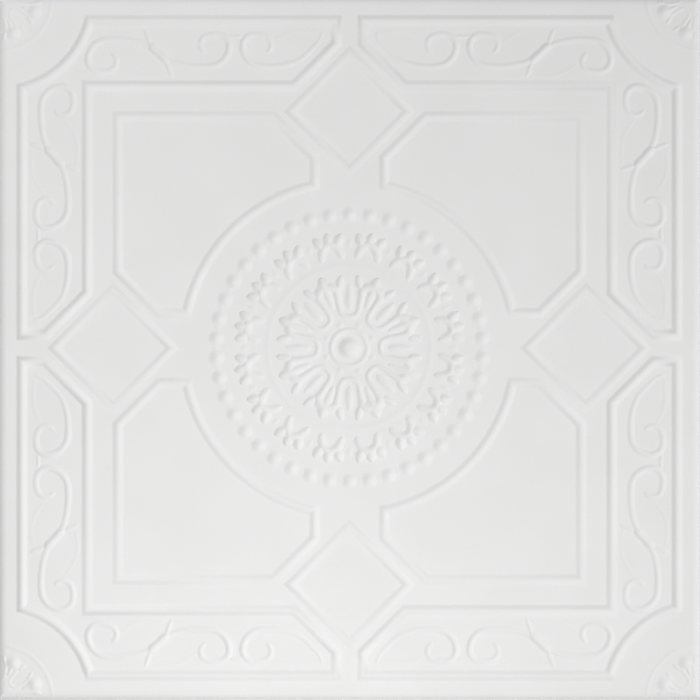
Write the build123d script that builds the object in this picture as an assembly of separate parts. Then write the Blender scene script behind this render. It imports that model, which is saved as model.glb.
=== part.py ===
"""Polystyrene foam ceiling tile, moulded in one piece, lying face up."""
import math
import os

from build123d import *

# Overall sheet
TILE = 500.0
FIELD_THICKNESS = 5.0
RIM_RADIUS = 3.5

# Raised mouldings: width at the foot, width of the crest and height above the field
PANEL_RIDGE = (11.0, 1.6, 1.5)
CELL_RIDGE = (10.0, 1.4, 1.3)
DIAMOND_RIDGE = (9.0, 1.4, 1.1)
SCROLL_RIDGE = (5.0, 1.4, 1.6)
TAIL_RIDGE = (3.2, 1.0, 0.9)
LOOP_RIDGE = (3.6, 1.2, 1.3)
STRING_RIDGE = (2.8, 1.0, 0.7)
ROOT_DEPTH = 0.6

# L-shaped border panels, one in each corner
BORDER = 16.6
PANEL_WIDTH = 46.6
PANEL_END_GAP = 9.4
CORNER_SCALLOP = 67.0

# Diamonds in the middle of each side
DIAMOND_HALF = 42.0
DIAMOND_INSET = 18.4
DIAMOND_TO_PANEL = 11.0

# Field cells between the panels and the medallion
CELL_INSET = 21.9
CELL_AXIS_GAP = 24.8
CELL_TO_DIAMOND = 11.2
CELL_ARC_RADIUS = 118.5

# Scrolls in the panels: (radius, turn in degrees) of each arc, bending left, drawn in chords
SCROLL_CHORD = 42.0
SCROLL_CENTRE = 135.9
SCROLL_MIRROR = 55.1
SCROLL_SLOPE = 36.0
SCROLL_STEM = 7.0
SCROLL_FOOT = [(20.0, 21.0), (72.0, 15.0)]
VOLUTE = [(72.0, 5.0), (14.5, 85.0), (8.2, 84.0), (22.0, 22.0), (6.6, 104.0), (7.0, 35.0)]
TAIL = [(52.0, 20.0), (20.0, 24.0), (340.0, 2.0), (14.0, 41.0)]

# Lobed sheath where two stems of a scroll meet, and the thin strokes beside it
SHEATH_HALF_LENGTH = 9.0
SHEATH_HALF_BODY = 4.0
SHEATH_HALF_WIDTH = 3.3
SHEATH_TURN = -42.0
SHEATH_HEIGHT = 1.9
SHEATH_DRAFT = 38.0
TENDRIL_TIP = (-9.6, 18.0)
LINK_HEIGHT = 12.4
LINK_REACH = 4.6

# Beaded ring round the medallion
BEAD_COUNT = 42
BEAD_RING_RADIUS = 95.0
BEAD_RADIUS = 3.7
BEAD_HEIGHT = 2.1

# Bumps with flat sides: share of the height at the shoulder, of the radius there and on top
BUMP_SIDES = 8
BUMP_SHOULDER = 0.6
BUMP_WAIST = 0.74
BUMP_CROWN = 0.4

# Ring of three-lobed leaves: one half of the outline as (across, radius) from crotch to tip
LEAF_COUNT = 16
LEAF_HALF = [
    (0, 69.6), (2.8, 69.4), (6.4, 63.4), (9.6, 63.2),
    (7.4, 72.6), (10.2, 78.8), (4.8, 77.4), (2.6, 80.8),
]
LEAF_HEIGHT = 2.2
LEAF_DRAFT = 34.0

# Rosette: eight petal hollows framed by looped rims, with three-lobed leaves between them
PETAL_COUNT = 8
LOOP_HALF = [(3.0, 22.9), (6.6, 27.6), (8.6, 35.5), (7.9, 42.5), (5.7, 49.0)]
SEPAL_HALF = [(0, 38.8), (4.2, 35.6), (7.6, 38.0), (7.6, 44.6), (4.6, 49.6), (2.0, 51.8)]
SEPAL_HEIGHT = 2.2
SEPAL_DRAFT = 34.0
BOSS_RADIUS = 8.0
BOSS_HEIGHT = 2.6
DOT_RING_RADIUS = 16.2
DOT_RADIUS = 2.2
DOT_HEIGHT = 1.0

# Quarter rosettes on the tile's corners are smaller copies of the middle one
CORNER_SHARE = 0.6
CORNER_TRIM = 0.8
CORNER_RING_RADIUS = 38.0
CORNER_RING_SIDES = 24

HALF = TILE / 2
ROOT_2 = math.sqrt(2)
PANEL_OUTER = HALF - BORDER
PANEL_INNER = PANEL_OUTER - PANEL_WIDTH
PANEL_MIDDLE = (PANEL_OUTER + PANEL_INNER) / 2
DIAMOND_CENTRE = PANEL_INNER - DIAMOND_INSET
CELL_OUTER = PANEL_INNER - CELL_INSET


def ridge_section(size, plane):
    """Section of a raised moulding: sloping sides, a narrow crest and a hidden root."""
    width, crest, height = size
    half = [(width / 2, -ROOT_DEPTH), (width / 2, 0), (crest / 2, height)]
    mirrored = [(-x, z) for x, z in reversed(half)]
    return plane * make_face(Polyline(*half, *mirrored, close=True))


def moulding(path, size):
    """Raised moulding that follows a path on the field."""
    tangent = path % 0
    across = Vector(0, 0, 1).cross(tangent)
    start = Plane(origin=path @ 0, x_dir=across, z_dir=tangent)
    return sweep(ridge_section(size, start), path=path, transition=Transition.RIGHT)


def on_field(*curves):
    """Join curves into one wire at the height of the field."""
    edges = [edge for curve in curves for edge in curve.edges()]
    return Pos(0, 0, FIELD_THICKNESS) * Wire(edges)


def raised(outline, height, draft):
    """Raised flat-topped form with sloping sides on the field."""
    foot = Pos(0, 0, FIELD_THICKNESS) * outline
    inset = height * math.tan(math.radians(draft))
    crest = Pos(0, 0, height) * offset(foot, -inset, kind=Kind.INTERSECTION)
    sides = loft([foot.face(), crest.face()], ruled=True)
    return sides + extrude(foot, amount=-ROOT_DEPTH)


def tier(radius, low, high, shrink):
    """One sloping tier of a bump, from one height to the next."""
    draft = math.degrees(math.atan(radius * (1 - shrink) / (high - low)))
    outline = RegularPolygon(radius, BUMP_SIDES)
    return Pos(0, 0, low) * extrude(outline, amount=high - low, taper=draft)


def bump(radius, height):
    """Round bump of a few flat sides, for what repeats many times."""
    shoulder = height * BUMP_SHOULDER
    low = tier(radius, 0, shoulder, BUMP_WAIST)
    high = tier(radius * BUMP_WAIST, shoulder, height, BUMP_CROWN)
    root = extrude(RegularPolygon(radius, BUMP_SIDES), amount=-ROOT_DEPTH)
    return Pos(0, 0, FIELD_THICKNESS) * (low + high + root)


def dome(radius, height):
    """Smooth round dome that stands on the field."""
    sphere = (radius**2 + height**2) / (2 * height)
    cap = Pos(0, 0, height - sphere) * Sphere(sphere)
    keep = Pos(0, 0, height / 2 - ROOT_DEPTH / 2) * Cylinder(radius, height + ROOT_DEPTH)
    return Pos(0, 0, FIELD_THICKNESS) * (cap & keep)


def ring(radius, sides, size):
    """Thin round moulding about the origin, in straight runs from a corner on +Y."""
    turns = [2 * math.pi * k / sides for k in range(1, sides)]
    corners = [(radius * math.sin(turn), radius * math.cos(turn)) for turn in turns]
    start = (corners[0][0] / 2, (radius + corners[0][1]) / 2)
    path = Polyline(start, *corners, (0, radius), start)
    return moulding(on_field(path), size)


def around(solid, count, first=0.0):
    """Equal copies of a solid about the middle of the tile."""
    return [Rot(0, 0, first + 360 * k / count) * solid for k in range(count)]


def follow(start, heading, arcs):
    """Points along arcs that bend left one after another, a chord apart."""
    points = [start]
    x, y = start
    for radius, turn in arcs:
        steps = math.ceil(turn / SCROLL_CHORD)
        chord = 2 * radius * math.sin(math.radians(turn / steps / 2))
        for _ in range(steps):
            heading += turn / steps / 2
            x += chord * math.cos(math.radians(heading))
            y += chord * math.sin(math.radians(heading))
            heading += turn / steps / 2
            points.append((x, y))
    return points


def panel_path():
    """Outline of the L-shaped panel of the (+X, +Y) corner."""
    slope = DIAMOND_CENTRE + DIAMOND_HALF + DIAMOND_TO_PANEL * ROOT_2
    reach = HALF - math.sqrt(CORNER_SCALLOP**2 - BORDER**2)
    middle = HALF - CORNER_SCALLOP / ROOT_2
    upper = [
        (reach, PANEL_OUTER),
        (PANEL_END_GAP, PANEL_OUTER),
        (PANEL_END_GAP, slope - PANEL_END_GAP),
        (slope - PANEL_INNER, PANEL_INNER),
        (PANEL_INNER, PANEL_INNER),
    ]
    mirrored = [(y, x) for x, y in reversed(upper[:-1])]
    start = ((reach + PANEL_END_GAP) / 2, PANEL_OUTER)
    sides = Polyline(start, *upper[1:], *mirrored)
    scallop = ThreePointArc((PANEL_OUTER, reach), (middle, middle), (reach, PANEL_OUTER))
    return on_field(sides, scallop, Line((reach, PANEL_OUTER), start))


def cell_path():
    """Outline of the field cell of the (+X, +Y) quarter."""
    slope = DIAMOND_CENTRE - DIAMOND_HALF - CELL_TO_DIAMOND * ROOT_2
    shoulder = math.sqrt(CELL_ARC_RADIUS**2 - CELL_AXIS_GAP**2)
    middle = CELL_ARC_RADIUS / ROOT_2
    right = [
        (CELL_OUTER, CELL_OUTER),
        (CELL_OUTER, CELL_OUTER - slope),
        (CELL_AXIS_GAP + slope, CELL_AXIS_GAP),
        (shoulder, CELL_AXIS_GAP),
    ]
    mirrored = [(y, x) for x, y in reversed(right)]
    start = ((2 * CELL_OUTER - slope) / 2, CELL_OUTER)
    arc = ThreePointArc((shoulder, CELL_AXIS_GAP), (middle, middle), (CELL_AXIS_GAP, shoulder))
    return on_field(Polyline(start, *right), arc, Polyline(*mirrored[:-1], start))


def diamond_path():
    """Outline of the diamond in the middle of the +Y side."""
    half = DIAMOND_HALF
    centre = DIAMOND_CENTRE
    start = (half / 2, centre + half / 2)
    corners = [(half, centre), (0, centre - half), (-half, centre), (0, centre + half)]
    return on_field(Polyline(start, *corners, start))


def scrolls():
    """Scrollwork of one panel arm, the one beside the +Y edge on the -X side."""
    slope = math.radians(SCROLL_SLOPE)
    stem = (SCROLL_STEM * math.cos(slope), -SCROLL_STEM * math.sin(slope))
    bottom = follow(stem, -SCROLL_SLOPE, SCROLL_FOOT)
    volute = follow(bottom[-1], 0, VOLUTE)
    half = bottom + volute[1:]
    double = [(-x, -y) for x, y in reversed(half)] + half
    single = [(2 * SCROLL_MIRROR - x, y) for x, y in reversed(volute)]
    tail = follow(single[-1], 0, TAIL)
    link_start = (SCROLL_MIRROR - LINK_REACH, LINK_HEIGHT)
    link_end = (SCROLL_MIRROR + LINK_REACH, LINK_HEIGHT)
    forms = [moulding(on_field(Polyline(*points)), SCROLL_RIDGE) for points in (double, single)]
    forms += [moulding(on_field(Polyline(*tail)), TAIL_RIDGE)]
    forms += [moulding(on_field(Line(link_start, link_end)), TAIL_RIDGE)]
    return [Pos(-SCROLL_CENTRE, PANEL_MIDDLE, 0) * form for form in forms + sheath()]


def sheath():
    """Spindle-shaped sheath in the middle of the double scroll, with its two tendrils."""
    right = [(SHEATH_HALF_BODY, -SHEATH_HALF_WIDTH), (SHEATH_HALF_LENGTH, 0)]
    right += [(SHEATH_HALF_BODY, SHEATH_HALF_WIDTH)]
    outline = make_face(Polyline(*right, *[(-x, -y) for x, y in right], close=True))
    spindle = Rot(0, 0, SHEATH_TURN) * raised(outline, SHEATH_HEIGHT, SHEATH_DRAFT)
    knee = polar(-SHEATH_HALF_BODY, SHEATH_TURN)
    tendril = moulding(on_field(Line(knee, TENDRIL_TIP)), TAIL_RIDGE)
    return [spindle, tendril, Rot(0, 0, 180) * tendril]


def lobed(half, share=1.0):
    """Closed outline from its right half, which starts and may end on the Y axis."""
    right = [(x * share, y * share) for x, y in half]
    left = [(-x, y) for x, y in reversed(right) if x > 0]
    return make_face(Polyline(*right, *left, close=True))


def rosette(share=1.0):
    """One eighth of a rosette: the looped rim of a petal, the leaf beside it and its dot."""
    right = [(x * share, y * share) for x, y in LOOP_HALF]
    left = [(-x, y) for x, y in reversed(right)]
    path = on_field(Polyline(*left, *right))
    width, crest, height = LOOP_RIDGE
    loop = moulding(path, (width * share, crest * share, height))
    sepal = raised(lobed(SEPAL_HALF, share), SEPAL_HEIGHT, SEPAL_DRAFT)
    dot = Pos(0, DOT_RING_RADIUS * share) * bump(DOT_RADIUS * share, DOT_HEIGHT)
    half_pitch = Rot(0, 0, 180 / PETAL_COUNT)
    return [loop, half_pitch * sepal, half_pitch * dot]


def medallion():
    """Everything inside the field cells, from the beads to the boss."""
    bead = Pos(0, BEAD_RING_RADIUS) * bump(BEAD_RADIUS, BEAD_HEIGHT)
    forms = [ring(BEAD_RING_RADIUS, BEAD_COUNT, STRING_RIDGE), dome(BOSS_RADIUS, BOSS_HEIGHT)]
    forms += around(bead, BEAD_COUNT)
    forms += around(raised(lobed(LEAF_HALF), LEAF_HEIGHT, LEAF_DRAFT), LEAF_COUNT, 180 / LEAF_COUNT)
    for form in rosette():
        forms += around(form, PETAL_COUNT)
    return forms


def corner_rosette():
    """Quarter rosette of one corner, cut off where the rim of the tile rolls down."""
    loop, leaf, _ = rosette(CORNER_SHARE)
    forms = around(loop, PETAL_COUNT) + around(leaf, PETAL_COUNT)
    reach = BOSS_RADIUS * CORNER_SHARE
    forms = [form for form in forms if form.center().X < reach and form.center().Y < reach]
    forms += [bump(reach, BOSS_HEIGHT), ring(CORNER_RING_RADIUS, CORNER_RING_SIDES, STRING_RIDGE)]
    span = TILE - 2 * CORNER_TRIM
    height = FIELD_THICKNESS + SEPAL_HEIGHT
    rounded = Pos(0, 0, height / 2) * Box(span, span, height)
    rounded = fillet(rounded.faces().sort_by(Axis.Z)[-1].edges(), RIM_RADIUS + SEPAL_HEIGHT)
    return [Pos(HALF, HALF, 0) * form & rounded for form in forms]


def sheet():
    """The plain sheet with its face edges rolled down all round."""
    plate = Pos(0, 0, FIELD_THICKNESS / 2) * Box(TILE, TILE, FIELD_THICKNESS)
    return fillet(plate.faces().sort_by(Axis.Z)[-1].edges(), RIM_RADIUS)


def tile():
    """The whole tile: the sheet with every raised form moulded into its face."""
    arm = scrolls()
    quarter = arm + [mirror(form, about=Plane.YZ) for form in arm]
    quarter += [moulding(panel_path(), PANEL_RIDGE), moulding(cell_path(), CELL_RIDGE)]
    quarter += [moulding(diamond_path(), DIAMOND_RIDGE)]
    quarter += corner_rosette()
    forms = medallion()
    for form in quarter:
        forms += around(form, 4)
    return sheet().fuse(*forms)


ceiling_tile = tile()
os.makedirs("parts", exist_ok=True)
export_step(ceiling_tile, "parts/ceiling_tile.step")
print("ceiling_tile", ceiling_tile.is_valid, ceiling_tile.bounding_box(), ceiling_tile.volume)
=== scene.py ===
# %% [markdown]
# A foam ceiling tile lies face up on a pale floor, and the camera looks straight down on it.
# The tile is one moulding: a flat sheet whose face carries ridges, scrolls, beads and a rosette.
# The packed part gives its size and place. Everything here is measured in millimetres, as a
# pattern maker would, and turned into metres once, when a shape is finished.

# %% Load the packed part
import math

import bmesh
import bpy
from mathutils import Matrix, Vector


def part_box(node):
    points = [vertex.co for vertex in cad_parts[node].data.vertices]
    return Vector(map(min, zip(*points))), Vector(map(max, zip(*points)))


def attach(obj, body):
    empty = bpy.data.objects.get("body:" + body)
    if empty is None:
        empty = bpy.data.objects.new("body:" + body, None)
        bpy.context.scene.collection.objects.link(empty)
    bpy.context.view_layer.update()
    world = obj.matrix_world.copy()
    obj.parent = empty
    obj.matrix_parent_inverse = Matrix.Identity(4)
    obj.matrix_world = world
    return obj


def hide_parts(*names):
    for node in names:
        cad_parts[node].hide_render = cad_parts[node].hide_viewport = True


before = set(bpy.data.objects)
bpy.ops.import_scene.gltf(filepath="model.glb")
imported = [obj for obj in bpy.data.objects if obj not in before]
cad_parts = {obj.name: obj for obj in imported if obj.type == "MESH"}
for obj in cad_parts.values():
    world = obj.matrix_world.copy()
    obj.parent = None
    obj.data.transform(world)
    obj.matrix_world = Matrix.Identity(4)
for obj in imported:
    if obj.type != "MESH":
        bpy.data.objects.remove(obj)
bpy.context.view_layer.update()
low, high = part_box("ceiling_tile")
MM = 0.001
TILE = (high.x - low.x) / MM
HALF = TILE / 2
print("tile", round(TILE, 2), "mm square,", round((high.z - low.z) / MM, 2), "mm high over all")

# %% [markdown]
# The sheet is a thin square block. Only the edges of its face roll down, because the mould opens
# upwards there, while the back stays square so that it can be glued flat. A bevel would make a
# roll as deep as it is broad, and this one is broader. So the block starts as high as the
# straight land at the edge, and its upper face is inset and raised in small steps, which keeps
# the corners of the plan sharp.

# %% The sheet with its rolled rim
# The height of the flat face, the breadth of the roll, and how far it falls.
FIELD = 5.0
RIM = 6.0
RIM_DROP = 3.5
RIM_STEPS = 10


def block(width, depth, height):
    """A box that stands on the ground about the origin."""
    bm = bmesh.new()
    bmesh.ops.create_cube(bm, size=1.0)
    bmesh.ops.scale(bm, vec=(width, depth, height), verts=bm.verts)
    bmesh.ops.translate(bm, vec=(0, 0, height / 2), verts=bm.verts)
    return bm


def rolled(inside):
    """Height of the face at a distance inside the edge, along a quarter of an ellipse."""
    run = 1 - min(max(inside, 0.0) / RIM, 1.0)
    return FIELD - RIM_DROP + RIM_DROP * math.sqrt(1 - run * run)


def rim_height(x, y):
    """Height of the sheet's face at a point of the plan."""
    return rolled(HALF - max(abs(x), abs(y)))


def sheet():
    """The plain sheet, in millimetres."""
    bm = block(TILE, TILE, rolled(0))
    top = [face for face in bm.faces if face.normal.z > 0.5]
    turns = [math.radians(90 * step / RIM_STEPS) for step in range(RIM_STEPS + 1)]
    stops = [RIM * (1 - math.cos(turn)) for turn in turns]
    for near, far in zip(stops, stops[1:]):
        bmesh.ops.inset_region(bm, faces=top, thickness=far - near, use_even_offset=True)
        bmesh.ops.translate(bm, vec=(0, 0, rolled(far) - rolled(near)), verts=top[0].verts)
    return bm


print("rim", rim_height(HALF, 0), "mm at the edge and", rim_height(0, 0), "mm in the field")

# %% [markdown]
# Nearly all of the ornament is drawn the way a carver draws it: as strokes, a soft rounded ridge
# that follows a line and swells or thins on its way. A curve object with a bevel profile comes
# close, but its radius scales width and height together, and here they change separately. So
# the tool starts from the outline of the ridge's section, extrudes it from station to station
# along the line, and moves each new outline into place. The flanks leave the sheet almost flat
# and turn over a rounded crest, as expanded foam does, which can't fill a sharp corner of the
# mould.

# %% The section of a soft ridge
# The share of the half width that is flat on top. Then how far the foot dips under the face and
# how deep the root goes: shares of the height in a stroke, and millimetres in a dome.
CREST = 0.05
DIP = 0.012
ROOT = 0.3


def swell(share):
    """Height of the section, 0 at its foot and 1 on its crest, at a share of the half width."""
    rise = min(1.0, (1.0 - abs(share)) / (1.0 - CREST))
    return rise * rise * (3 - 2 * rise)


def section(bm, flanks):
    """The closed outline of a ridge one unit to each side and one unit high."""
    shares = [step / flanks for step in range(-flanks, flanks + 1)]
    face = [bm.verts.new((s, 0, (1 + DIP) * swell(s) - DIP)) for s in shares]
    root = [bm.verts.new((1, 0, -ROOT)), bm.verts.new((-1, 0, -ROOT))]
    ring = face + root
    return [bm.edges.new((a, b)) for a, b in zip(ring, ring[1:] + ring[:1])]


print("half way down a flank the ridge has", round(swell(0.5), 2), "of its height")

# %% [markdown]
# A stroke is given as points with a width and a height each. A smooth curve through them gives
# the stations, so that a few points describe a whole scroll. Ridges with sharp corners keep
# their own points, and the section is widened at each corner, as in a mitred frame.

# %% Stations along a line
# The least that a mitre is divided by, so that a very sharp corner doesn't shoot out.
MITRE_LIMIT = 0.5


def smooth(points, step, closed=False):
    """Evenly spaced stations (x, y, width, height) on a soft curve through the points."""
    points = [Vector(point) for point in points]
    count = len(points)
    spans = count if closed else count - 1
    stations = []
    for k in range(spans):
        b, c = points[k], points[(k + 1) % count]
        a = points[k - 1] if closed or k else 2 * b - c
        d = points[(k + 2) % count] if closed or k + 2 < count else 2 * c - b
        parts = max(1, round((c.xy - b.xy).length / step))
        for part in range(parts):
            t = part / parts
            stations.append(0.5 * (2 * b + (c - a) * t + (2 * a - 5 * b + 4 * c - d) * t**2
                                   + (3 * b - a - 3 * c + d) * t**3))
    return stations if closed else stations + [points[-1]]


def placed(stations, closed):
    """Where the section stands at each station: across, along and up, mitred at corners."""
    frames = []
    count = len(stations)
    for k, station in enumerate(stations):
        before = stations[k - 1] if closed or k else None
        after = stations[(k + 1) % count] if closed or k + 1 < count else None
        arrive = (station.xy - before.xy).normalized() if before else None
        leave = (after.xy - station.xy).normalized() if after else arrive
        arrive = arrive or leave
        along = (arrive + leave).normalized()
        half = station.z / 2 / max(along.dot(leave), MITRE_LIMIT)
        across = Vector((along.y, -along.x)) * half
        frames.append(Matrix(((across.x, along.x, 0, station.x),
                              (across.y, along.y, 0, station.y),
                              (0, 0, station.w, FIELD),
                              (0, 0, 0, 1))))
    return frames


trial_line = smooth([(0, 0, 5, 1.6), (20, 5, 5, 1.6), (40, 0, 4, 1)], 1.5)
print("trial curve", len(trial_line), "stations")

# %% [markdown]
# Now the stroke can be extruded. An open one is closed by a face at each end, and its stations
# are first made smaller near the ends, as a gouge begins and ends its cut in a round tip. A
# closed one is bridged from its last outline to its first.

# %% The stroke itself
# A tip is as long as this share of the stroke's width, and its very end keeps this share of it.
TIP_REACH = 0.55
TIP_LEAST = 0.12


def stroke(stations, flanks=5, closed=False):
    """A soft ridge along the stations, as a closed shell."""
    bm = bmesh.new()
    frames = placed(stations, closed)
    first = section(bm, flanks)
    bmesh.ops.transform(bm, matrix=frames[0], verts=bm.verts)
    last = first
    for here, there in zip(frames, frames[1:]):
        grown = bmesh.ops.extrude_edge_only(bm, edges=last)["geom"]
        fresh = [item for item in grown if isinstance(item, bmesh.types.BMVert)]
        last = [item for item in grown if isinstance(item, bmesh.types.BMEdge)]
        bmesh.ops.transform(bm, matrix=there @ here.inverted(), verts=fresh)
    if closed:
        bmesh.ops.bridge_loops(bm, edges=last + first)
    else:
        bmesh.ops.edgeloop_fill(bm, edges=first)
        bmesh.ops.edgeloop_fill(bm, edges=last)
    bmesh.ops.recalc_face_normals(bm, faces=bm.faces)
    return bm


def rounded(stations):
    """Shrink the stations near both ends, so that a stroke starts and stops in a round tip."""
    total = sum((b.xy - a.xy).length for a, b in zip(stations, stations[1:]))
    walked = 0.0
    tips = []
    for k, station in enumerate(stations):
        if k:
            walked += (station.xy - stations[k - 1].xy).length
        inside = min(1.0, min(walked, total - walked) / (station.z * TIP_REACH))
        share = max(TIP_LEAST, math.sqrt(1 - (1 - inside) ** 2))
        tips.append(Vector((station.x, station.y, station.z * share, station.w * share)))
    return tips


trial = stroke(rounded(trial_line))
print("trial stroke", len(trial.faces), "faces, open edges",
      sum(not edge.is_manifold for edge in trial.edges))
trial.free()

# %% [markdown]
# The same form comes back many times: four border panels, eight double scrolls, sixteen leaves.
# Each is made once, and its copies are spun about the middle of the tile or mirrored, so they
# stay alike. An Array modifier could copy them too, but the operators leave one plain mesh for
# each kind, ready to be united with the sheet.

# %% Copies by turning and mirroring
def everything(bm):
    """All of a mesh, as the operators take it."""
    return bm.verts[:] + bm.edges[:] + bm.faces[:]


def turned(bm, degrees):
    """Turn a shape about the middle of the tile."""
    turn = Matrix.Rotation(math.radians(degrees), 3, "Z")
    bmesh.ops.rotate(bm, cent=(0, 0, 0), matrix=turn, verts=bm.verts)
    return bm


def moved(bm, x, y):
    """Slide a shape over the sheet."""
    bmesh.ops.translate(bm, vec=(x, y, 0), verts=bm.verts)
    return bm


def around(bm, count):
    """Copies of a shape, evenly round the middle of the tile."""
    bmesh.ops.spin(bm, geom=everything(bm), cent=(0, 0, 0), axis=(0, 0, 1), steps=count - 1,
                   angle=math.tau * (count - 1) / count, use_duplicate=True)
    return bm


def both_sides(bm):
    """A shape and its mirror image in the middle line of the tile."""
    bmesh.ops.mirror(bm, geom=everything(bm), matrix=Matrix.Identity(4), merge_dist=0, axis="X")
    bmesh.ops.recalc_face_normals(bm, faces=bm.faces)
    return bm


def gathered(shapes):
    """Put several shapes into one mesh, and free them."""
    whole = bmesh.new()
    for shape in shapes:
        mesh = bpy.data.meshes.new("shape")
        shape.to_mesh(mesh)
        whole.from_mesh(mesh)
        bpy.data.meshes.remove(mesh)
        shape.free()
    return whole


quarter_turns = around(block(1, 1, 1), 4)
print("four blocks:", len(quarter_turns.faces), "faces")
quarter_turns.free()

# %% [markdown]
# Four L-shaped panels run round the border, one in each corner. A moulded ridge closes each of
# them: straight on the outside, cut slantwise where the diamonds of the sides come in, and
# hollowed at the corner to leave room for a quarter of a rosette. Straight bars laid end to end
# would gape at the corners of that line, so it is one mitred stroke through its own points.

# %% The ridges of the border panels
# A size is a width and a height. Lines lie at a distance from the middle of the tile, and a
# slanted side lies where x and y add up to its value.
RIDGE_FLANKS = 6
ARC_STEP = 3.0
PANEL_SIZE = (9.0, 1.6)
PANEL_OUTER = 233.3
PANEL_INNER = 186.8
PANEL_END = 9.5
PANEL_SLANT = 226.2
SCALLOP = 67.0


def arc(centre, radius, start, end, step):
    """Points along a round arc, from one angle to another in degrees."""
    parts = math.ceil(abs(math.radians(end - start)) * radius / step)
    turns = [math.radians(start + (end - start) * k / parts) for k in range(parts + 1)]
    return [(centre[0] + radius * math.cos(t), centre[1] + radius * math.sin(t)) for t in turns]


def ridge(points, size):
    """A closed ridge of one size through points in the plan."""
    return stroke([Vector((x, y, *size)) for x, y in points], flanks=RIDGE_FLANKS, closed=True)


def panel_ridge():
    """The ridge of the panel in the far right corner."""
    reach = math.degrees(math.asin((HALF - PANEL_OUTER) / SCALLOP))
    scallop = arc((HALF, HALF), SCALLOP, 180 + reach, 270 - reach, ARC_STEP)
    upper = [(PANEL_END, PANEL_OUTER), (PANEL_END, PANEL_SLANT - PANEL_END),
             (PANEL_SLANT - PANEL_INNER, PANEL_INNER), (PANEL_INNER, PANEL_INNER)]
    lower = [(y, x) for x, y in reversed(upper[:-1])]
    return ridge(upper + lower + scallop[::-1], PANEL_SIZE)


panels = around(panel_ridge(), 4)
print("panel ridges", len(panels.faces), "faces")

# %% [markdown]
# Inside the panels lies a diamond in the middle of each side, and between the diamonds one field
# cell in each quarter, whose inner side follows the round medallion. The same tool makes their
# ridges, a little lower and finer than those of the panels, so that the border frames them.

# %% The ridges of the diamonds and the field cells
DIAMOND_SIZE = (8.2, 1.2)
DIAMOND_CENTRE = 168.4
DIAMOND_REACH = 42.0
CELL_SIZE = (8.8, 1.15)
CELL_OUTER = 165.0
CELL_SLANT = 110.5
CELL_AXIS = 24.8
CELL_ARC = 118.5


def diamond_ridge():
    """The ridge of the diamond on the far side."""
    corners = [(0, DIAMOND_REACH), (-DIAMOND_REACH, 0), (0, -DIAMOND_REACH), (DIAMOND_REACH, 0)]
    return ridge([(x, y + DIAMOND_CENTRE) for x, y in corners], DIAMOND_SIZE)


def cell_ridge():
    """The ridge of the field cell in the far right quarter."""
    reach = math.degrees(math.asin(CELL_AXIS / CELL_ARC))
    inner = arc((0, 0), CELL_ARC, reach, 90 - reach, ARC_STEP)
    upper = [(CELL_AXIS, CELL_AXIS + CELL_SLANT), (CELL_OUTER - CELL_SLANT, CELL_OUTER),
             (CELL_OUTER, CELL_OUTER)]
    lower = [(y, x) for x, y in reversed(upper[:-1])]
    return ridge(inner + upper + lower, CELL_SIZE)


diamonds = around(diamond_ridge(), 4)
cells = around(cell_ridge(), 4)
print("diamonds and cells", len(diamonds.faces) + len(cells.faces), "faces")

# %% [markdown]
# Each arm of a panel holds a double scroll, a single scroll with a long tail, and thin leaves
# between them. The formula of a spiral would fit a scroll's eye but not its long stem. So its
# line is a chain of arcs that bend ever tighter, which is how such volutes are set out with
# compasses. Each arc also says how wide and high the stroke is where the arc ends, so the
# scroll swells on its outer side and dies away in its eye.

# %% Strokes along chains of arcs
STROKE_STEP = 1.3


def chain(start, heading, size, arcs):
    """Stations along arcs (radius, degrees, width, height); a negative angle bends right."""
    x, y = start
    width, height = size
    stations = [Vector((x, y, width, height))]
    for radius, degrees, next_width, next_height in arcs:
        parts = max(2, round(abs(math.radians(degrees)) * radius / STROKE_STEP))
        chord = 2 * radius * math.sin(math.radians(abs(degrees)) / parts / 2)
        for part in range(1, parts + 1):
            heading += degrees / parts / 2
            x += chord * math.cos(math.radians(heading))
            y += chord * math.sin(math.radians(heading))
            heading += degrees / parts / 2
            share = part / parts
            stations.append(Vector((x, y, width + (next_width - width) * share,
                                    height + (next_height - height) * share)))
        width, height = next_width, next_height
    return stations


def point_mirror(stations):
    """The same stations on the other side of the scroll's centre, walked inwards."""
    return [Vector((-s.x, -s.y, s.z, s.w)) for s in reversed(stations)]


quarter = chain((0, 0), 0, (5, 1), [(10, 90, 5, 1)])
print("a quarter turn of radius 10 ends at", [round(v, 2) for v in quarter[-1].xy])

# %% [markdown]
# The double scroll is the same half twice, the second one turned about its centre. Its upper
# volute comes back in the single scroll as a mirror image, which then runs out in a long tail.
# Only one half and one tail are written down, so the three volutes can't differ.

# %% The scrolls of one arm
ARM_X = -135.9
ARM_Y = (PANEL_OUTER + PANEL_INNER) / 2
SLOPE = 36.0
STEM = 7.0
STEM_PARTS = 5
WAIST = (5.2, 0.7)
MIRROR_X = 55.1
FOOT = [(20, 21, 5.8, 0.65), (72, 15, 6.2, 0.8)]
VOLUTE = [(72, 5, 6.4, 0.85), (14.5, 85, 6.6, 1.1), (8.2, 84, 6.0, 0.65), (22, 22, 6.0, 0.7),
          (6.6, 104, 5.2, 0.65), (7, 35, 4.4, 0.35)]
TAIL = [(52, 20, 5.6, 0.6), (20, 24, 5.2, 0.5), (340, 2, 4.6, 0.4), (14, 41, 4.2, 0.4)]


def double_scroll():
    """The S-shaped scroll, as stations about its centre."""
    slope = math.radians(SLOPE)
    stem = (STEM * math.cos(slope), -STEM * math.sin(slope))
    half = chain(stem, -SLOPE, WAIST, FOOT + VOLUTE)
    middle = [Vector((stem[0] * k / STEM_PARTS, stem[1] * k / STEM_PARTS, *WAIST))
              for k in range(1 - STEM_PARTS, STEM_PARTS)]
    return point_mirror(half) + middle + half


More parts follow.
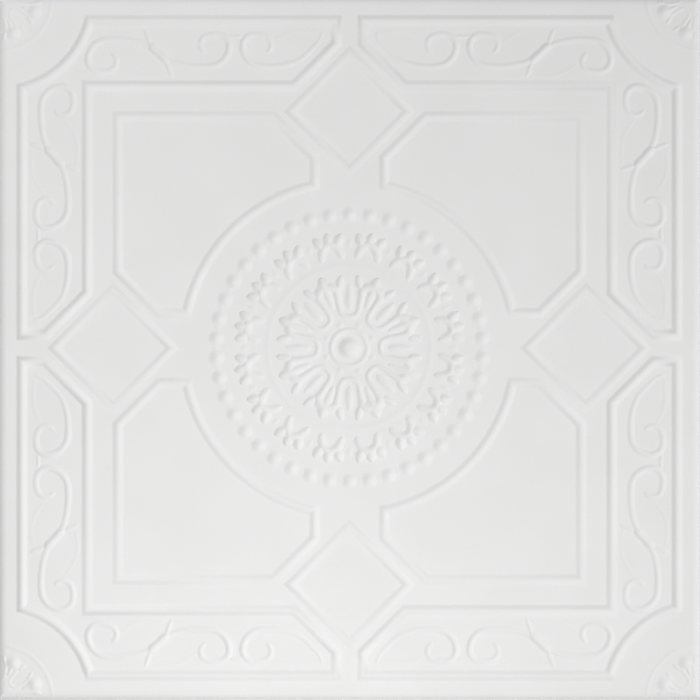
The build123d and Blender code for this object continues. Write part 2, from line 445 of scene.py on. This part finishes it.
def single_scroll(double):
    """The C-shaped scroll with its tail, mirrored from the double scroll's end."""
    walk = sum(max(2, round(math.radians(d) * r / STROKE_STEP)) for r, d, w, h in VOLUTE)
    volute = [Vector((2 * MIRROR_X - s.x, s.y, s.z, s.w)) for s in reversed(double[-walk - 1:])]
    last = volute[-1]
    return volute + chain(last.xy, 0.0, (last.z, last.w), TAIL)[1:]


double = double_scroll()
single = single_scroll(double)
print("double scroll", len(double), "stations, single scroll", len(single))

# %% Copies of the scrolls for all eight arms
def in_arms(shapes):
    """Shapes drawn about the double scroll's centre, in all eight arms of the border."""
    arm = moved(gathered(shapes), ARM_X, ARM_Y)
    return around(both_sides(arm), 4)


double_scrolls = in_arms([stroke(rounded(double), flanks=4)])
single_scrolls = in_arms([stroke(rounded(single), flanks=4)])
print("scrolls", len(double_scrolls.faces) + len(single_scrolls.faces), "faces")

# %% [markdown]
# Where the two stems of the double scroll meet, a sheath like a spindle wraps them, and a short
# tendril springs from each end of it. A low bar ties the double scroll to the single one, and
# thin leaves follow the hollows of the scrolls. They cross the scrolls, so each kind is a mesh of
# its own until all of them are united with the sheet.

# %% Sheaths, tendrils, ties and thin leaves
LEAF_STEP = 1.6
SHEATH = [(-7.8, 7.6, 4.8, 0.6), (-4.9, 4.5, 8.0, 1.4), (0, 0, 7.6, 1.3),
          (4.9, -4.5, 8.0, 1.4), (7.8, -7.6, 4.8, 0.6)]
TENDRIL = [(5.6, -6.4, 4.6, 0.65), (7.4, -11.0, 5.0, 0.65), (8.4, -13.8, 4.8, 0.6),
           (10.2, -17.6, 3.6, 0.35)]
TIE = [(50.2, 12.2, 4.0, 0.55), (55.1, 11.6, 4.0, 0.5), (60.0, 12.2, 4.0, 0.55)]
LOWER_LEAF = chain((-27.6, -6.2), -42, (3.2, 0.1), [(60, 10, 4.2, 0.15), (26, 32, 4.4, 0.18),
                                                    (50, 15, 3.2, 0.1)])
END_LEAF = [(82.4, 9.0, 3.4, 0.1), (89.9, 13.0, 4.8, 0.2), (98.4, 15.2, 5.2, 0.24),
            (106.9, 14.9, 4.8, 0.2), (115.9, 14.0, 3.4, 0.1)]


def stroke_of(points, step=STROKE_STEP, flanks=4):
    """A soft stroke with round tips through points."""
    return stroke(rounded(smooth(points, step)), flanks)


def pair(stations):
    """A stroke and its copy on the other side of the scroll's centre."""
    return [stroke(stations, flanks=3), stroke(point_mirror(stations), flanks=3)]


sheaths = in_arms([stroke_of(SHEATH, flanks=5)])
tendrils = in_arms(pair(rounded(smooth(TENDRIL, STROKE_STEP))))
ties = in_arms([stroke_of(TIE, flanks=3)])
thin_leaves = in_arms(pair(rounded(LOWER_LEAF)) + [stroke_of(END_LEAF, LEAF_STEP, 3)])
print("sheaths, tendrils, ties and thin leaves",
      sum(len(bm.faces) for bm in (sheaths, tendrils, ties, thin_leaves)), "faces")

# %% [markdown]
# A string of beads runs round the medallion. A flattened sphere would meet the sheet in a hard
# edge, but foam turns out softly there. So a bead is a low dome: half of its profile, which has
# the section of a ridge, spun about its own axis. The boss in the middle and the dots round it
# are the same form in other sizes, so one helper makes them all.

# %% Domes and round ridges
MERGE = 1e-4
BOSS = (9.0, 2.6)


def dome(radius, height, sides=18, rings=6, flat=0.0):
    """A round swelling at the middle of the tile; its top is flat for a share of its radius."""
    bm = bmesh.new()
    profile = [bm.verts.new((0, 0, FIELD - ROOT)), bm.verts.new((radius, 0, FIELD - ROOT))]
    for ring in range(rings, -1, -1):
        share = ring / rings
        rise = (height + DIP) * swell(max(0.0, share - flat) / (1 - flat)) - DIP
        profile.append(bm.verts.new((radius * share, 0, FIELD + rise)))
    edges = [bm.edges.new(ends) for ends in zip(profile, profile[1:])]
    bmesh.ops.spin(bm, geom=profile + edges, cent=(0, 0, 0), axis=(0, 0, 1), steps=sides,
                   angle=math.tau, use_merge=True)
    bmesh.ops.remove_doubles(bm, verts=bm.verts, dist=MERGE)
    bmesh.ops.recalc_face_normals(bm, faces=bm.faces)
    return bm


def circle(radius, size, step):
    """A round ridge about the middle of the tile."""
    points = arc((0, 0), radius, 0, 360, step)[:-1]
    return stroke([Vector((x, y, *size)) for x, y in points], flanks=3, closed=True)


boss = dome(*BOSS, sides=40, rings=10, flat=0.2)
print("boss", len(boss.faces), "faces")

# %% [markdown]
# The beads stand half a step off the axes of the tile, so that the ring is the same on both
# sides of each of them, and a low ridge under them is their string. A fainter ridge lies round
# the rosette like a halo, and a collar with eight dots lies round the boss.

# %% Beads and rings
BEADS = 42
BEAD = (6.6, 1.6)
BEAD_RING = 95.0
STRING_SIZE = (6.4, 0.3)
HALO_RING = 58.2
HALO_SIZE = (6.6, 0.25)
COLLAR_RING = 12.8
COLLAR_SIZE = (5.4, 0.9)
DOTS = 8
DOT = (3.6, 0.6)
DOT_RING = 17.4
beads = around(turned(moved(dome(*BEAD), BEAD_RING, 0), 180 / BEADS), BEADS)
string = circle(BEAD_RING, STRING_SIZE, step=2.4)
halo = circle(HALO_RING, HALO_SIZE, step=2.4)
collar = circle(COLLAR_RING, COLLAR_SIZE, step=1.4)
dots = around(turned(moved(dome(*DOT, sides=14, rings=4), DOT_RING, 0), 180 / DOTS), DOTS)
print("beads", len(beads.faces), "string", len(string.faces), "collar", len(collar.faces))

# %% [markdown]
# Sixteen leaves stand round the medallion. Each has two legs that join in an arch, and three
# lobes on top of it: a straight one and two that lean out. Every lobe is one stroke that starts
# under the arch, so the leaf gets the valleys between its lobes by itself. A low seed lies
# between each two leaves.

# %% The ring of leaves, drawn for a leaf that points along +Y
LEAVES = 16
ARCH = [(7.6, 62.6, 6.2, 0.7), (6.9, 67.0, 7.4, 1.1), (5.3, 71.4, 8.4, 1.4),
        (2.8, 74.1, 9.0, 1.7), (0, 74.9, 9.0, 1.7)]
MID_LOBE = [(0, 72.6, 9.4, 1.4), (0, 76.4, 10.0, 1.8), (0, 80.0, 9.0, 1.6), (0, 83.4, 6.2, 0.9)]
SIDE_LOBE = [(4.6, 71.8, 8.8, 1.4), (6.5, 75.4, 9.6, 1.8), (8.4, 78.4, 8.4, 1.5),
             (10.2, 81.2, 5.8, 0.8)]
SEED = [(0, 70.6, 3.6, 0.25), (0, 74.2, 5.6, 0.4), (0, 77.8, 3.6, 0.25)]


def across(points):
    """Points and their mirror image, as one line from right to left."""
    return points + [(-x, y, width, height) for x, y, width, height in reversed(points[:-1])]


half_leaf = 180 / LEAVES
arches = around(turned(stroke_of(across(ARCH)), half_leaf), LEAVES)
mid_lobes = around(turned(stroke_of(MID_LOBE), half_leaf), LEAVES)
side_lobes = around(turned(both_sides(stroke_of(SIDE_LOBE)), half_leaf), LEAVES)
seeds = around(stroke_of(SEED, flanks=3), LEAVES)
print("leaves", sum(len(bm.faces) for bm in (arches, mid_lobes, side_lobes, seeds)), "faces")

# %% [markdown]
# The rosette has eight hollow petals. One ribbon makes all of their rims: it swings in round the
# foot of a petal, climbs out along its side, broadens over the gap and comes back for the next
# petal. A pointed leaf and two small ears stand on the ribbon between each two petals, and a
# long seed lies in each petal.

# %% The rosette
PETALS = 8
RIM_LINE = [(0, 22.3, 5.4, 0.9), (3.8, 22.9, 5.4, 0.9), (6.3, 26.0, 5.6, 0.9),
            (7.3, 30.0, 6.0, 1.0), (8.2, 34.5, 6.6, 1.2), (9.0, 38.3, 7.8, 1.4)]
OVER_GAP = [(-6.7, 41.8, 9.4, 1.6), (-3.6, 44.7, 10.0, 1.7), (0, 45.6, 10.0, 1.7)]
SPADE = [(0, 29.6, 4.6, 0.5), (0, 36.4, 7.6, 1.0), (0, 42.6, 10.4, 1.6), (0, 46.6, 12.0, 1.8),
         (0, 50.4, 10.4, 1.6), (0, 54.2, 6.4, 0.9)]
EAR = [(8.4, 41.0, 7.6, 1.4), (7.2, 45.0, 7.4, 1.4), (6.4, 48.6, 6.6, 1.2), (5.8, 52.0, 4.8, 0.7)]
PETAL_SEED = [(0, 27.0, 4.4, 0.5), (0, 31.0, 7.4, 1.0), (0, 36.0, 8.0, 1.2), (0, 41.0, 6.4, 0.9),
              (0, 46.0, 4.0, 0.4)]


def turned_point(point, degrees):
    """A point of a line, turned about the middle."""
    x, y, width, height = point
    c, s = math.cos(math.radians(degrees)), math.sin(math.radians(degrees))
    return (c * x - s * y, s * x + c * y, width, height)


def ribbon_line():
    """The whole ribbon, clockwise round the rosette."""
    half_gap = 180 / PETALS
    back = [(-x, y, width, height) for x, y, width, height in reversed(RIM_LINE[1:])]
    one = RIM_LINE + [turned_point(point, -half_gap) for point in across(OVER_GAP)]
    one += [turned_point(point, -2 * half_gap) for point in back]
    return [turned_point(point, -2 * half_gap * k) for k in range(PETALS) for point in one]


def rosette_shapes():
    """The rosette's ribbon, leaves, ears and petal seeds, each kind as a mesh of its own."""
    ribbon = stroke(smooth(ribbon_line(), STROKE_STEP, closed=True), flanks=4, closed=True)
    spades = around(turned(stroke_of(SPADE, flanks=5), 180 / PETALS), PETALS)
    ears = around(both_sides(stroke_of(EAR)), PETALS)
    grains = around(stroke_of(PETAL_SEED, flanks=3), PETALS)
    return ribbon, spades, ears, grains


ribbon, spades, ears, grains = rosette_shapes()
print("rosette", sum(len(bm.faces) for bm in (ribbon, spades, ears, grains)), "faces")

# %% [markdown]
# Each corner of the tile carries a quarter of a smaller rosette, so that four tiles laid together
# show a whole one. Here the ornament has to follow the sheet over its rolled rim and die away
# towards the edge. The small rosette is moved over the corner, lowered with the rim, and cut off
# just inside the edge, and the cut is closed again. Its leaves are plump, so a low swelling
# lies under each of them, and a low ring goes round them all.

# %% Quarter rosettes in the corners
# The sizes are those of the large rosette, before it is made smaller. The ribbon, the leaves
# and the ears keep only a share of their height.
CORNER_SHARE = 0.6
CORNER_CUT = 0.3
FADE = 3.0
HEIGHT_SHARES = (0.3, 0.6, 0.4)
CORNER_BOSS = (9.4, 1.2)
SWELLING = (11.0, 1.6)
SWELLING_RING = 46.0
CORNER_RING = 64.0
CORNER_RING_SIZE = (8.0, 0.28)


def small(bm):
    """A smaller copy of a rosette form, as high as the large one, over the far right corner."""
    bmesh.ops.scale(bm, vec=(CORNER_SHARE, CORNER_SHARE, 1), verts=bm.verts)
    return moved(bm, HALF, HALF)


def lowered(bm, share):
    """A form with its height above the sheet scaled, and its root left as it is."""
    for vert in bm.verts:
        if vert.co.z > FIELD:
            vert.co.z = FIELD + (vert.co.z - FIELD) * share
    return bm


def over_rim(bm):
    """Lower a form with the rolled rim, cut it off inside the edges, and close the cuts."""
    for vert in bm.verts:
        inside = HALF - max(vert.co.x, vert.co.y)
        fade = min(1.0, max(inside, 0.0) / FADE)
        rise = vert.co.z - FIELD
        vert.co.z = rim_height(vert.co.x, vert.co.y) + (rise * fade if rise > 0 else rise)
    for normal in ((1, 0, 0), (0, 1, 0)):
        point = Vector(normal) * (HALF - CORNER_CUT)
        bmesh.ops.bisect_plane(bm, geom=everything(bm), plane_co=point, plane_no=normal,
                               clear_outer=True)
        bmesh.ops.edgeloop_fill(bm, edges=[edge for edge in bm.edges if edge.is_boundary])
    return bm


def in_corners(bm):
    """The part of a small form that lies on the tile, in all four corners."""
    return around(over_rim(small(bm)), 4)


corner_shapes = [in_corners(lowered(bm, share))
                 for bm, share in zip(rosette_shapes()[:3], HEIGHT_SHARES)]
corner_shapes.append(in_corners(dome(*CORNER_BOSS, sides=24)))
swelling = turned(moved(dome(*SWELLING, sides=24), 0, SWELLING_RING), 180 / PETALS)
corner_shapes.append(in_corners(around(swelling, PETALS)))
corner_shapes.append(in_corners(circle(CORNER_RING, CORNER_RING_SIZE, step=3.0)))
print("corner rosettes", sum(len(bm.faces) for bm in corner_shapes), "faces")

# %% [markdown]
# Real foam is one body, so all the forms are united with the sheet into one closed skin. A
# remesh would fuse them too, but it would blur the fine leaves. Forms of one kind don't touch
# each other, so each kind goes in as one mesh, by a Boolean modifier with the Manifold solver,
# which is quick and keeps closed shapes closed. The hidden roots disappear inside the sheet.

# %% One skin
def piece_from(bm, name):
    """A mesh object in metres from a shape in millimetres, which is freed."""
    bmesh.ops.scale(bm, vec=(MM, MM, MM), verts=bm.verts)
    mesh = bpy.data.meshes.new(name)
    bm.to_mesh(mesh)
    bm.free()
    piece = bpy.data.objects.new(name, mesh)
    bpy.context.scene.collection.objects.link(piece)
    return piece


def unite(base, forms):
    """Leave a base piece with one mesh, in which all the forms are united with it."""
    tools = [piece_from(form, f"form_{k}") for k, form in enumerate(forms)]
    for tool in tools:
        union = base.modifiers.new("union", "BOOLEAN")
        union.operation = "UNION"
        union.solver = "MANIFOLD"
        union.object = tool
    bpy.context.view_layer.update()
    graph = bpy.context.evaluated_depsgraph_get()
    skin = bpy.data.meshes.new_from_object(base.evaluated_get(graph))
    base.modifiers.clear()
    base.data = skin
    for tool in tools:
        bpy.data.objects.remove(tool)


tile = piece_from(sheet(), "moulded_tile")
forms = [panels, diamonds, cells, double_scrolls, single_scrolls, sheaths, tendrils, ties,
         thin_leaves, beads, string, halo, arches, mid_lobes, side_lobes, seeds, ribbon, spades,
         ears, grains, boss, collar, dots] + corner_shapes
unite(tile, forms)
check = bmesh.new()
check.from_mesh(tile.data)
print("skin", len(check.faces), "faces,", sum(len(face.verts) - 2 for face in check.faces),
      "triangles, open edges", sum(not edge.is_manifold for edge in check.edges))
check.free()

# %% [markdown]
# Soft forms need smooth shading, but a thin flat sheet shows grey smears where its large faces
# share their corners with small ones. Normals weighted by face area cure that: the flat field
# wins at every foot. Only edges that turn by more than SHARP_ANGLE degrees stay sharp, above all
# those round the back.

# %% Smooth shading with flat fields
SHARP_ANGLE = 62
for polygon in tile.data.polygons:
    polygon.use_smooth = True
tile.data.set_sharp_from_angle(angle=math.radians(SHARP_ANGLE))
normals = tile.modifiers.new("field_normals", "WEIGHTED_NORMAL")
normals.mode = "FACE_AREA"
normals.keep_sharp = True
print("sharp edges", sum(edge.use_edge_sharp for edge in tile.data.edges))

# %% [markdown]
# The finish comes next. The maths of a material reads best as plain sums, so a small class lets
# node sockets be added, subtracted and multiplied like numbers.

# %% Node sockets that can be added and multiplied
class Shade:
    """One output of a node, which takes part in sums."""

    def __init__(self, tree, socket):
        self.tree = tree
        self.socket = socket

    def node(self, kind, settings=None, inputs=None, output=0):
        """A new node: its type, its settings, and the values or links of its sockets."""
        made = self.tree.nodes.new(kind)
        for name, value in (settings or {}).items():
            setattr(made, name, value)
        for name, value in (inputs or {}).items():
            if isinstance(value, Shade):
                self.tree.links.new(value.socket, made.inputs[name])
            else:
                made.inputs[name].default_value = value
        return Shade(self.tree, made.outputs[output])

    def maths(self, operation, a, b):
        """A Math node on two values."""
        return self.node("ShaderNodeMath", {"operation": operation}, {0: a, 1: b})

    def __add__(self, other):
        return self.maths("ADD", self, other)

    def __radd__(self, other):
        return self.maths("ADD", other, self)

    def __sub__(self, other):
        return self.maths("SUBTRACT", self, other)

    def __rsub__(self, other):
        return self.maths("SUBTRACT", other, self)

    def __mul__(self, other):
        return self.maths("MULTIPLY", self, other)

    def __rmul__(self, other):
        return self.maths("MULTIPLY", other, self)

    def ramp(self, low, high):
        """0 below one value, 1 above the other, and soft between them."""
        return self.node("ShaderNodeMapRange", {"interpolation_type": "SMOOTHSTEP"},
                         {"Value": self, "From Min": low, "From Max": high})


signs = [name for name in vars(Shade) if name.endswith(("add__", "sub__", "mul__"))]
print("sums for sockets:", signs)

# %% [markdown]
# The tile is bare white foam with a closed skin. Close up it shows the cells of the fused beads
# as a net of very fine lines, and a dull grain between them. The net is the edges of Voronoi
# cells as large as a bead, the grain is a fine noise, and a broad one makes the white a little
# uneven. They are all read at Object coordinates, so they stay on the tile however it is seen.

# %% White foam
FOAM = (0.86, 0.86, 0.857, 1.0)
FOAM_SHADE = (0.835, 0.835, 0.831, 1.0)
CELL = 2.8 * MM
SEAM = 0.09
GRAIN_SCALE = 1600.0
CLOUD_SCALE = 22.0
RELIEF_DEPTH = 0.05 * MM
RELIEF_STRENGTH = 0.35
FOAM_IOR = 1.4
FOAM_GLOSS = 0.35


def foam_material():
    """Bare moulded foam: fused cells, dull grain and a slightly uneven white."""
    material = bpy.data.materials.new("white_foam")
    material.use_nodes = True
    tree = material.node_tree
    surface = tree.nodes["Principled BSDF"]
    start = Shade(tree, None)
    place = start.node("ShaderNodeTexCoord", output="Object")
    seam = start.node("ShaderNodeTexVoronoi", {"feature": "DISTANCE_TO_EDGE"},
                      {"Vector": place, "Scale": 1 / CELL, "Randomness": 1.0})
    grain = start.node("ShaderNodeTexNoise", {},
                       {"Vector": place, "Scale": GRAIN_SCALE, "Detail": 3.0})
    cloud = start.node("ShaderNodeTexNoise", {},
                       {"Vector": place, "Scale": CLOUD_SCALE, "Detail": 2.0})
    net = 1 - seam.ramp(0.0, SEAM)
    height = 0.35 * grain - 0.65 * net
    shade = 0.5 * cloud.ramp(0.35, 0.65) + 0.35 * net + 0.15 * grain
    # Inputs 6 and 7 of this node are its two colours, and output 2 is the mixed one.
    colour = start.node("ShaderNodeMix", {"data_type": "RGBA"},
                        {0: shade, 6: FOAM, 7: FOAM_SHADE}, output=2)
    relief = start.node("ShaderNodeBump", {}, {"Height": height, "Strength": RELIEF_STRENGTH,
                                               "Distance": RELIEF_DEPTH})
    rough = 0.62 + 0.12 * grain
    for name, value in (("Base Color", colour), ("Roughness", rough), ("Normal", relief)):
        tree.links.new(value.socket, surface.inputs[name])
    surface.inputs["IOR"].default_value = FOAM_IOR
    surface.inputs["Specular IOR Level"].default_value = FOAM_GLOSS
    return material


tile.data.materials.clear()
tile.data.materials.append(foam_material())
print("foam cells", round(CELL / MM, 1), "mm across")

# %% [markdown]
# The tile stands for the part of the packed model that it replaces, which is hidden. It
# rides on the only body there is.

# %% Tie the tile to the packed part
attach(tile, "root")
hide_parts("ceiling_tile")
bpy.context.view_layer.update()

# %% [markdown]
# A pale floor carries the tile. The camera looks straight down through a long lens, so that even
# the outer ridges are seen from right above, and stands where the face just fills the picture.

# %% Floor and camera
# One pixel of the picture covers PIXEL millimetres of the tile's face, and its middle is at
# VIEW_X and VIEW_Y.
FLOOR_SIZE = 6000.0
FLOOR_GAP = 0.05
PIXEL = 0.7123
VIEW_WIDTH = 700 * PIXEL * MM
VIEW_X = 0.36 * MM
VIEW_Y = -1.42 * MM
LENS = 150.0
SENSOR = 36.0
FAR_CLIP = 20.0


def floor_material():
    """Plain pale floor."""
    material = bpy.data.materials.new("pale_floor")
    material.use_nodes = True
    surface = material.node_tree.nodes["Principled BSDF"]
    surface.inputs["Base Color"].default_value = (0.8, 0.8, 0.8, 1.0)
    surface.inputs["Roughness"].default_value = 0.8
    return material


ground = bmesh.new()
bmesh.ops.create_grid(ground, x_segments=1, y_segments=1, size=FLOOR_SIZE / 2)
bmesh.ops.translate(ground, vec=(0, 0, -FLOOR_GAP), verts=ground.verts)
floor = piece_from(ground, "floor")
floor.data.materials.append(floor_material())

camera = bpy.data.objects.new("camera", bpy.data.cameras.new("camera"))
bpy.context.scene.collection.objects.link(camera)
camera.data.lens = LENS
camera.data.sensor_width = SENSOR
distance = VIEW_WIDTH * LENS / SENSOR
camera.location = (VIEW_X, VIEW_Y, FIELD * MM + distance)
camera.data.clip_end = FAR_CLIP
bpy.context.scene.camera = camera
print("camera", round(distance, 3), "m above the face")

# %% [markdown]
# White relief on white shows only by its shading, so the light matters as much as the form. An
# even sky keeps every shadow soft. A broad lamp on the right gives each form a bright flank and
# a dark one, and its beam is narrowed so that it doesn't wash out the floor below it. A soft
# lamp above the lower half makes that half a little brighter, and a third one above the far
# left corner keeps the light level from side to side.

# %% Light
# Each lamp has a name, a place in metres, a power in watts, a width in metres, and the spread of
# its beam in degrees.
SKY = 0.256
LAMPS = [
    ("right_lamp", (2.05, -0.4, 1.26), 13.0, 0.8, 120),
    ("lower_lamp", (-0.08, -0.38, 0.46), 0.97, 0.35, 180),
    ("left_lamp", (-0.7, 0.6, 0.9), 4.7, 0.35, 180),
]


def lamp(name, place, energy, size, spread):
    """A round soft lamp that faces the middle of the tile."""
    made = bpy.data.objects.new(name, bpy.data.lights.new(name, "AREA"))
    bpy.context.scene.collection.objects.link(made)
    made.data.shape = "DISK"
    made.data.energy = energy
    made.data.size = size
    made.data.spread = math.radians(spread)
    made.location = place
    made.rotation_euler = (-Vector(place)).to_track_quat("-Z", "Y").to_euler()


world = bpy.data.worlds.new("even_sky")
world.use_nodes = True
world.node_tree.nodes["Background"].inputs["Color"].default_value = (1, 1, 1, 1)
world.node_tree.nodes["Background"].inputs["Strength"].default_value = SKY
bpy.context.scene.world = world
for name, place, energy, size, spread in LAMPS:
    lamp(name, place, energy, size, spread)
bpy.context.scene.view_settings.view_transform = "Standard"
print("sky", SKY, "and", len(LAMPS), "lamps")

# %% [markdown]
